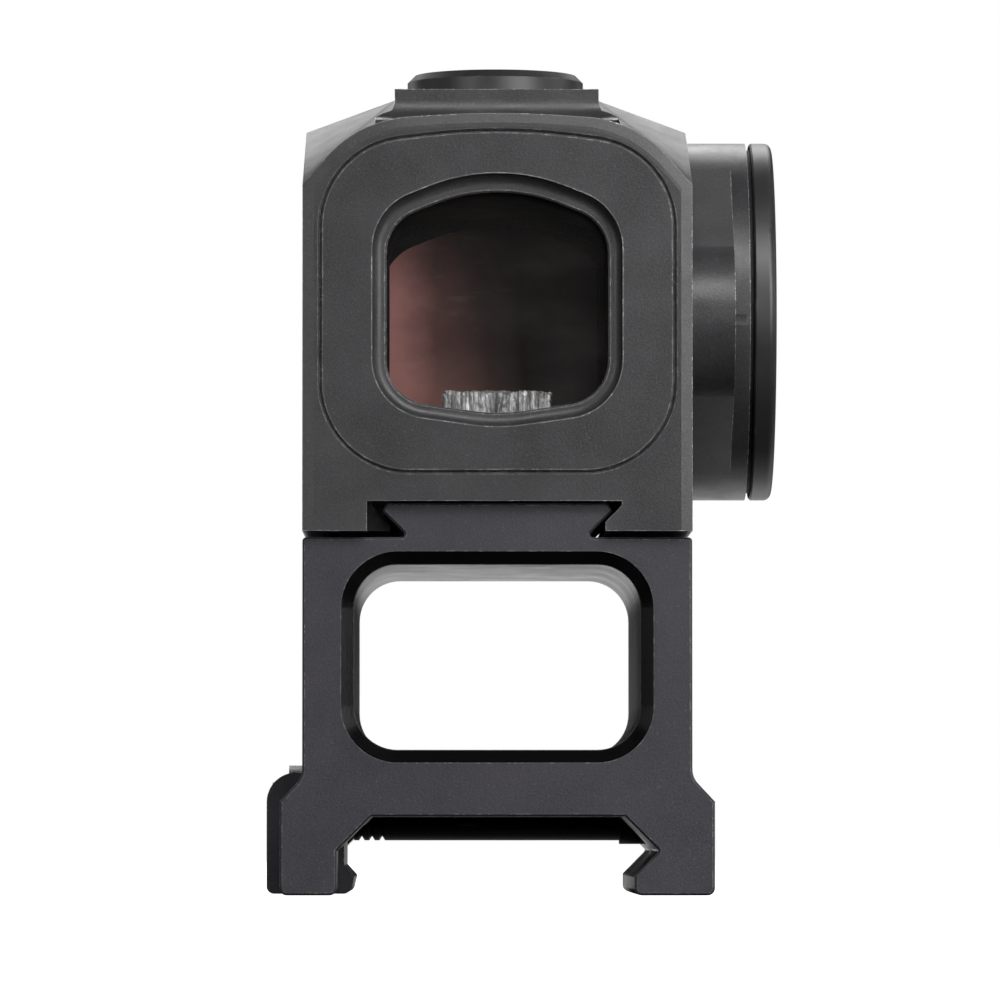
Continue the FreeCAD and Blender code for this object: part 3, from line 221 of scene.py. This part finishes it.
def anodised(name, dark, light, rough, rub=0.35, specks=0.8, grain=GRAIN, reach=EDGE_REACH,
             cut=None):
    """Bead-blasted anodised aluminium: fine pits, faint mottling, rubbed and nicked edges.

    Where the mask named by cut is 1 the metal was milled after blasting, so it is smooth; there its
    colour is also taken nearly to black as painted shade."""
    m = Maker(name)
    cloud = m.noise(CLOUD_SIZE, 3.0, 0.6)
    pits = m.noise(grain, 2.0, 0.7)
    glint = m.noise(grain * 1.6, 1.0, 0.5)
    along = m.noise(RUB_SIZE, 4.0, 0.7)
    nicks = m.noise(NICK_SIZE, 3.0, 0.7)
    edge = m.edge_mask(reach)
    base = m.mix(m.span(cloud, 0.35, 0.65), dark, light)
    base = m.mix(m.span(pits, 0.35, 0.7, 0.0, 0.45), base, PIT_GREY)
    # painted highlight: light specks standing for glints off the blasted grain
    base = m.mix(m.span(glint, 0.68, 0.78, 0.0, 0.25), base, GLINT_GREY)
    line = m.math("MULTIPLY", edge, m.span(along, 0.35, 0.65, rub * 0.3, rub))
    nicked = m.math("MULTIPLY", edge, m.span(nicks, 0.52, 0.58, 0.0, specks))
    worn = m.math("MAXIMUM", line, nicked)
    base = m.mix(worn, base, WORN_GREY)
    blotch = m.noise(BLOTCH_SIZE, 4.0, 0.65)
    roughness = m.math("ADD", m.span(cloud, 0.3, 0.7, rough - 0.05, rough + 0.05),
                       m.span(blotch, 0.3, 0.7, -0.05, 0.05))
    if cut:
        milled_and_shaded = cut(m)
        # painted shade: the milled bevel's colour is taken nearly to black
        base = m.mix(milled_and_shaded, base, grey(0.004))
        roughness = m.math("ADD", m.math("MULTIPLY", roughness, m.span(milled_and_shaded, 0.0, 1.0, 1.0, 0.0)),
                           m.math("MULTIPLY", milled_and_shaded, CUT_ROUGHNESS))
    normal = m.bump(pits, PIT_DEPTH, 0.8)
    return m.finish(Base_Color=base, Roughness=roughness, Normal=normal,
                    Specular_IOR_Level=0.5, Metallic=m.math("MULTIPLY", worn, 0.6))


def window_bevel(m):
    """1 on the bevel round the riser's window, 0 elsewhere."""
    parts = m.axes()
    middle_high = (WINDOW_LOW + WINDOW_HIGH) / 2
    across = m.math("SUBTRACT", m.math("ABSOLUTE", parts[0]), WINDOW_HALF - WINDOW_CORNER)
    up = m.math("ABSOLUTE", m.math("SUBTRACT", parts[2], middle_high))
    up = m.math("SUBTRACT", up, (WINDOW_HIGH - WINDOW_LOW) / 2 - WINDOW_CORNER)
    wide = m.math("MAXIMUM", across, 0.0)
    tall = m.math("MAXIMUM", up, 0.0)
    corner = m.math("SQRT", m.math("ADD", m.math("MULTIPLY", wide, wide),
                                   m.math("MULTIPLY", tall, tall)))
    outside = m.math("SUBTRACT", corner, WINDOW_CORNER)
    clear = m.span(outside, 0.02 * MM, 0.08 * MM)
    return m.math("MULTIPLY", clear, m.span(outside, WINDOW_BEVEL, WINDOW_BEVEL - 0.04 * MM))


def turned(name, axis, centre, rough):
    """Lathe-turned black anodising: faint rings round an axis."""
    m = Maker(name)
    parts = m.axes()
    pair = {"X": (1, 2), "Z": (0, 1)}[axis]
    first = m.math("SUBTRACT", parts[pair[0]], centre[0])
    second = m.math("SUBTRACT", parts[pair[1]], centre[1])
    radius = m.math("SQRT", m.math("ADD", m.math("MULTIPLY", first, first),
                                   m.math("MULTIPLY", second, second)))
    rings = m.math("SINE", m.math("MULTIPLY", radius, 2 * math.pi / RING_PITCH))
    speck = m.noise(0.14 * MM, 2.0, 0.6)
    cloud = m.noise(3.0 * MM, 3.0, 0.6)
    edge = m.edge_mask(0.12 * MM)
    worn = m.math("MULTIPLY", edge, m.span(m.noise(1.5 * MM, 4.0), 0.5, 0.7, 0.0, 0.5))
    base = m.mix(m.span(cloud, 0.35, 0.65), grey(0.022), grey(0.031, 0.02))
    base = m.mix(worn, base, grey(0.3))
    height = m.math("ADD", m.math("MULTIPLY", rings, 0.25), speck)
    return m.finish(Base_Color=base, Roughness=m.span(cloud, 0.3, 0.7, rough - 0.03, rough + 0.03),
                    Normal=m.bump(height, 0.006 * MM, 0.5), Specular_IOR_Level=0.6)


def black_steel():
    """Oiled black-oxide steel with scratches along the bolt."""
    m = Maker("black_steel_look")
    streak = m.noise(1.2 * MM, 5.0, 0.7, m.stretch((0.25, 4.0, 4.0)))
    speck = m.noise(0.2 * MM, 2.0, 0.7)
    edge = m.edge_mask(0.12 * MM)
    worn = m.math("MAXIMUM", m.span(streak, 0.6, 0.72, 0.0, 0.55), m.math("MULTIPLY", edge, 0.4))
    base = m.mix(worn, grey(0.03), grey(0.32, 0.03))
    return m.finish(Base_Color=base, Metallic=0.75, Roughness=m.span(streak, 0.3, 0.7, 0.32, 0.5),
                    Normal=m.bump(speck, 0.01 * MM, 0.5))


def bare_metal():
    """Rough-milled light metal with upright tool marks and dark smears."""
    m = Maker("bare_metal_look")
    marks = m.noise(0.35 * MM, 4.0, 0.7, m.stretch((2.4, 0.6, 0.3)))
    blotch = m.noise(0.9 * MM, 3.0, 0.6)
    base = m.mix(m.span(marks, 0.38, 0.62), grey(0.11), grey(0.46))
    base = m.mix(m.span(blotch, 0.52, 0.66, 0.0, 0.75), base, grey(0.08))
    return m.finish(Base_Color=base, Metallic=0.45, Roughness=m.span(blotch, 0.3, 0.7, 0.3, 0.55),
                    Normal=m.bump(marks, 0.05 * MM, 0.9))


def clear_glass():
    """Coated pane that lets nearly everything through, with faint wiping smears."""
    m = Maker("clear_glass_look")
    smear = m.noise(4.0 * MM, 4.0, 0.6, m.stretch((0.5, 1.0, 1.6)))
    return m.finish(Base_Color=(0.5, 0.47, 0.46, 1.0), Roughness=m.span(smear, 0.3, 0.7, 0.03, 0.08),
                    Alpha=m.span(smear, 0.45, 0.75, 0.008, 0.02), IOR=1.45)


def coated_glass_painted_reflection():
    """Objective with a reflecting coating, its colour a painted reflection: red low on one side, grey
    across the other.
    """
    m = Maker("coated_glass_look")
    parts = m.axes()
    across = m.span(parts[0], -PANE_HALF, PANE_HALF)
    up = m.span(parts[2], PANE_LOW, PANE_HIGH)
    smear = m.noise(2.2 * MM, 5.0, 0.65, m.stretch((0.8, 1.0, 1.3)))
    wipe = m.noise(1.2 * MM, 3.0, 0.6, m.stretch((0.35, 1.0, 1.8)))
    ramp = m.add("ShaderNodeValToRGB")
    m.put(ramp.inputs["Fac"], m.math("ADD", across, m.span(smear, 0.3, 0.7, -0.025, 0.025)))
    elements = ramp.color_ramp.elements
    while len(elements) < len(LENS_PAINTED_REFLECTION):
        elements.new(0.5)
    for element, (place, colour) in zip(elements, LENS_PAINTED_REFLECTION):
        element.position = place
        element.color = (*colour, 1.0)
    # painted reflection: a red foot low on the left of the lens
    foot = m.math("MULTIPLY", m.span(up, 0.5, 0.0, 0.0, 1.0, smooth=True),
                  m.span(across, 0.75, 0.0, 0.0, 1.0))
    base = m.mix(m.math("MULTIPLY", foot, 0.8), ramp.outputs["Color"], LENS_FOOT_REFLECTION)
    base = m.mix(m.span(wipe, 0.6, 0.75, 0.0, 0.14), base, (0.6, 0.56, 0.54, 1.0))
    return m.finish(Base_Color=base, Metallic=0.85, Roughness=m.span(smear, 0.3, 0.7, 0.32, 0.42))


def rubber(name, level):
    """Dull moulded rubber with a fine skin and a faint bloom."""
    m = Maker(name)
    skin = m.noise(0.3 * MM, 3.0, 0.7)
    bloom = m.noise(3.0 * MM, 3.0, 0.6)
    base = m.mix(m.span(bloom, 0.35, 0.7), grey(level), grey(level * 1.7, 0.02))
    return m.finish(Base_Color=base, Roughness=m.span(skin, 0.3, 0.7, 0.6, 0.75),
                    Normal=m.bump(skin, 0.02 * MM, 0.5), Specular_IOR_Level=0.35)


def board_green():
    """Circuit board lacquer over its tracks."""
    m = Maker("board_green_look")
    weave = m.noise(0.4 * MM, 2.0)
    tracks = m.noise(1.6 * MM, 1.0, 0.5, m.stretch((1.0, 0.3, 1.0)))
    base = m.mix(m.span(tracks, 0.48, 0.52), (0.01, 0.06, 0.03, 1.0), (0.02, 0.11, 0.05, 1.0))
    return m.finish(Base_Color=base, Roughness=m.span(weave, 0.3, 0.7, 0.3, 0.45))


def plated(name, dark, light, rough):
    """Brushed or plated metal."""
    m = Maker(name)
    brush = m.noise(0.6 * MM, 4.0, 0.6, m.stretch((1.0, 0.3, 3.0)))
    base = m.mix(m.span(brush, 0.3, 0.7), dark, light)
    return m.finish(Base_Color=base, Metallic=1.0,
                    Roughness=m.span(brush, 0.3, 0.7, rough - 0.06, rough + 0.08),
                    Normal=m.bump(brush, 0.01 * MM, 0.3))


def led_clear():
    """Red clear resin round the light source."""
    m = Maker("led_clear_look")
    haze = m.noise(0.4 * MM, 2.0)
    base = m.mix(m.span(haze, 0.3, 0.7), (0.5, 0.05, 0.03, 1.0), (0.7, 0.1, 0.07, 1.0))
    return m.finish(Base_Color=base, Roughness=m.span(haze, 0.3, 0.7, 0.08, 0.16))


def middle(node):
    """Centre of a node's box."""
    low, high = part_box(node)
    return (low + high) / 2


def dress_nodes():
    """Give every CAD node its material."""
    cap = middle("battery_cap")
    dial = middle("elevation_dial")
    side = middle("windage_screw")
    body = anodised("anodised_body_look", (0.025, 0.0248, 0.0268, 1), (0.038, 0.0376, 0.04, 1), 0.38)
    ring = anodised("anodised_bezel_look", (0.022, 0.0218, 0.0235, 1), (0.034, 0.0336, 0.036, 1), 0.4,
                    rub=0.55, specks=1.0, reach=0.14 * MM)
    mount = anodised("anodised_mount_look", (0.0305, 0.028, 0.036, 1),
                     (0.0365, 0.0335, 0.043, 1), 0.4, rub=0.25, cut=window_bevel)
    # painted shade: the sight's clamp bar is much darker than the other anodising because it sits in
    # shade in its pocket
    sunk_painted_shade = anodised("sunk_bar_look", grey(0.009), grey(0.013), 0.5, rub=0.15, specks=0.3)
    steel = black_steel()
    brass = plated("spring_brass_look", (0.45, 0.28, 0.1, 1), (0.66, 0.45, 0.2, 1), 0.34)
    cell = plated("cell_steel_look", grey(0.5), grey(0.66, 0.02), 0.28)
    seal = rubber("seal_rubber_look", 0.012)
    key = rubber("key_rubber_look", 0.02)
    looks = {
        "sight_housing": body, "sight_clamp": sunk_painted_shade, "rear_bezel": ring, "front_bezel": ring,
        "riser_mount": mount, "rail_clamp": mount,
        "battery_cap": turned("turned_cap_look", "X", (cap.y, cap.z), 0.42),
        "elevation_dial": turned("turned_dial_look", "Z", (dial.x, dial.y), 0.42),
        "windage_screw": turned("turned_windage_look", "X", (side.y, side.z), 0.42),
        # painted shade: the carriage inside the tube is near black, darker than the anodising outside
        "optics_carriage": anodised("carriage_painted_shade_look", grey(0.006), grey(0.009), 0.6, rub=0.0, specks=0.0),
        "rail_bolt": steel, "elevation_screw": steel, "board_screws": steel,
        "sight_clamp_screw_rear": steel, "sight_clamp_screw_front": steel,
        "emitter_block": bare_metal(), "emitter_led": led_clear(), "circuit_board": board_green(),
        "battery": cell, "button_switches": cell, "negative_contact": brass,
        "positive_contact": brass, "carriage_spring": brass, "elevation_nut": brass,
        "windage_nut": brass, "rear_lens": clear_glass(), "front_lens": coated_glass_painted_reflection(),
        "keypad": key, "plus_button": key, "minus_button": key,
    }
    for node, item in NODES.items():
        look = looks.get(node, seal)
        item.data.materials.clear()
        item.data.materials.append(look)


# ---------------------------------------------------------------- emitter block

def shell_lattice(cells):
    """Points and quads of a box's skin, on a lattice of whole numbers."""
    points = {}
    quads = []
    for axis in range(3):
        first, second = [a for a in range(3) if a != axis]
        for side in (0, cells[axis]):
            for i in range(cells[first]):
                for j in range(cells[second]):
                    corners = []
                    for u, v in ((0, 0), (1, 0), (1, 1), (0, 1)):
                        spot = [0, 0, 0]
                        spot[axis] = side
                        spot[first] = i + u
                        spot[second] = j + v
                        corners.append(points.setdefault(tuple(spot), len(points)))
                    outward = (side > 0) == (axis != 1)
                    quads.append(corners if outward else corners[::-1])
    return points, quads


def rough(x, y, z):
    """Repeatable noise from 0 to 1 at a place in millimetres."""
    return 0.5 + 0.5 * max(-1.0, min(1.0, 1.6 * noise.noise(Vector((x, y, z)))))


def milled(place, part):
    """Where a point of the plain block lies after rough milling; part is its share of each side.

    The cuts are in millimetres: deepest along the top, at the two ends and down the near face."""
    x, y, z = (value / MM for value in place)
    u, v, w = part
    streak = rough(5.0 * x, 2.0, 0.5 * z)
    fine = rough(14.0 * x, 7.0, 2.5 * z)
    top_drop = w ** 6 * (0.10 + 0.26 * rough(1.6 * x, y, 3.0) + 0.1 * fine)
    end_cut = abs(2 * u - 1) ** 24 * (0.12 + 0.45 * rough(3.0 * y, 4.0 * z, 9.0 * round(u)))
    face_cut = (1 - v) ** 8 * (0.16 * streak + 0.06 * fine)
    notch = 0.22 * math.exp(-((x + 0.25) / 0.16) ** 2) * (1 - v) ** 8
    x += end_cut if u < 0.5 else -end_cut
    return Vector((x, y + face_cut + notch, z - top_drop)) * MM


def make_block():
    """The emitter block, rough-milled, in place of its plain CAD node."""
    low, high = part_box("emitter_block")
    points, quads = shell_lattice(BLOCK_CELLS)
    spots = []
    for spot in points:
        part = [step / count for step, count in zip(spot, BLOCK_CELLS)]
        place = [a + (b - a) * p for a, b, p in zip(low, high, part)]
        spots.append(milled(place, part))
    mesh = bpy.data.meshes.new("emitter_block_milled")
    mesh.from_pydata(spots, [], quads)
    mesh.update()
    mesh.materials.append(bare_metal())
    block = bpy.data.objects.new("emitter_block_milled", mesh)
    bpy.context.scene.collection.objects.link(block)
    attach(block, "carriage")
    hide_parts("emitter_block")


# ---------------------------------------------------------------- stage, light, camera

def area_light(name, size, power, place, aim):
    """A rectangular panel that shines on its aim and stays out of the picture."""
    lamp = bpy.data.lights.new(name, "AREA")
    lamp.shape = "RECTANGLE"
    lamp.size, lamp.size_y = size
    lamp.energy = power
    item = bpy.data.objects.new(name, lamp)
    bpy.context.scene.collection.objects.link(item)
    item.location = place
    item.rotation_euler = (Vector(aim) - Vector(place)).to_track_quat("-Z", "Y").to_euler()
    item.visible_camera = False


def make_world():
    """White to look at, and a glow of strength WORLD_GLOW as light, which is none at present."""
    world = bpy.data.worlds.new("tent")
    bpy.context.scene.world = world
    world.use_nodes = True
    tree = world.node_tree
    tree.nodes.clear()
    choose = tree.nodes.new("ShaderNodeMixShader")
    path = tree.nodes.new("ShaderNodeLightPath")
    tree.links.new(path.outputs["Is Camera Ray"], choose.inputs[0])
    for slot, strength in ((1, WORLD_GLOW), (2, 1.0)):
        glow = tree.nodes.new("ShaderNodeBackground")
        glow.inputs["Color"].default_value = (1, 1, 1, 1)
        glow.inputs["Strength"].default_value = strength
        tree.links.new(glow.outputs[0], choose.inputs[slot])
    out = tree.nodes.new("ShaderNodeOutputWorld")
    tree.links.new(choose.outputs[0], out.inputs["Surface"])


def make_floor():
    """A light table: white to look at, and it throws light up from behind the object only."""
    mesh = bpy.data.meshes.new("floor")
    half = FLOOR_HALF
    level = cad_box[0].z - FLOOR_GAP
    mesh.from_pydata([(-half, -half, level), (half, -half, level), (half, half, level),
                      (-half, half, level)], [], [(0, 1, 2, 3)])
    floor = bpy.data.objects.new("floor", mesh)
    bpy.context.scene.collection.objects.link(floor)
    m = Maker("floor_look")
    parts = m.axes()
    behind = m.span(parts[1], GLOW_FRONT, GLOW_BACK, 0.0, TABLE_GLOW, smooth=True)
    sides = m.span(m.math("ABSOLUTE", parts[0]), GLOW_NEAR, GLOW_FAR, 1.0, GLOW_EDGE,
                   smooth=True)
    throw = m.add("ShaderNodeEmission")
    m.put(throw.inputs["Strength"], m.math("MULTIPLY", behind, sides))
    tone = m.noise(0.4, 2.0)
    m.finish(Base_Color=m.mix(tone, grey(0.86), grey(0.9)), Roughness=0.9,
             Specular_IOR_Level=0.1, Emission_Color=(1, 1, 1, 1), Emission_Strength=1.0)
    look = next(n for n in m.tree.nodes if n.type == "BSDF_PRINCIPLED")
    output = next(n for n in m.tree.nodes if n.type == "OUTPUT_MATERIAL")
    choose = m.add("ShaderNodeMixShader")
    path = m.add("ShaderNodeLightPath")
    m.put(choose.inputs[0], path.outputs["Is Camera Ray"])
    m.put(choose.inputs[1], throw.outputs[0])
    m.put(choose.inputs[2], look.outputs[0])
    m.put(output.inputs["Surface"], choose.outputs[0])
    mesh.materials.append(m.material)


def make_light():
    """Every panel in the table of lights."""
    for name, size, power, place, aim in LIGHTS:
        area_light(name, size, power, place, aim)


def make_camera():
    """Level with the rail, close to the middle, looking slightly up."""
    place = Vector(CAMERA_PLACE) * MM
    aim = Vector(CAMERA_AIM) * MM
    camera = bpy.data.cameras.new("camera")
    camera.sensor_width = SENSOR
    camera.lens = SENSOR * CAMERA_RANGE / CAMERA_WIDTH
    camera.clip_start = 0.01
    camera.clip_end = 50.0
    item = bpy.data.objects.new("camera", camera)
    bpy.context.scene.collection.objects.link(item)
    item.location = place
    item.rotation_mode = "QUATERNION"
    item.rotation_quaternion = (aim - place).to_track_quat("-Z", "Y")
    bpy.context.scene.camera = item


dress_nodes()
make_block()
make_world()
make_floor()
make_light()
make_camera()
bpy.context.scene.view_settings.view_transform = "Standard"
bpy.context.scene.view_settings.look = "None"
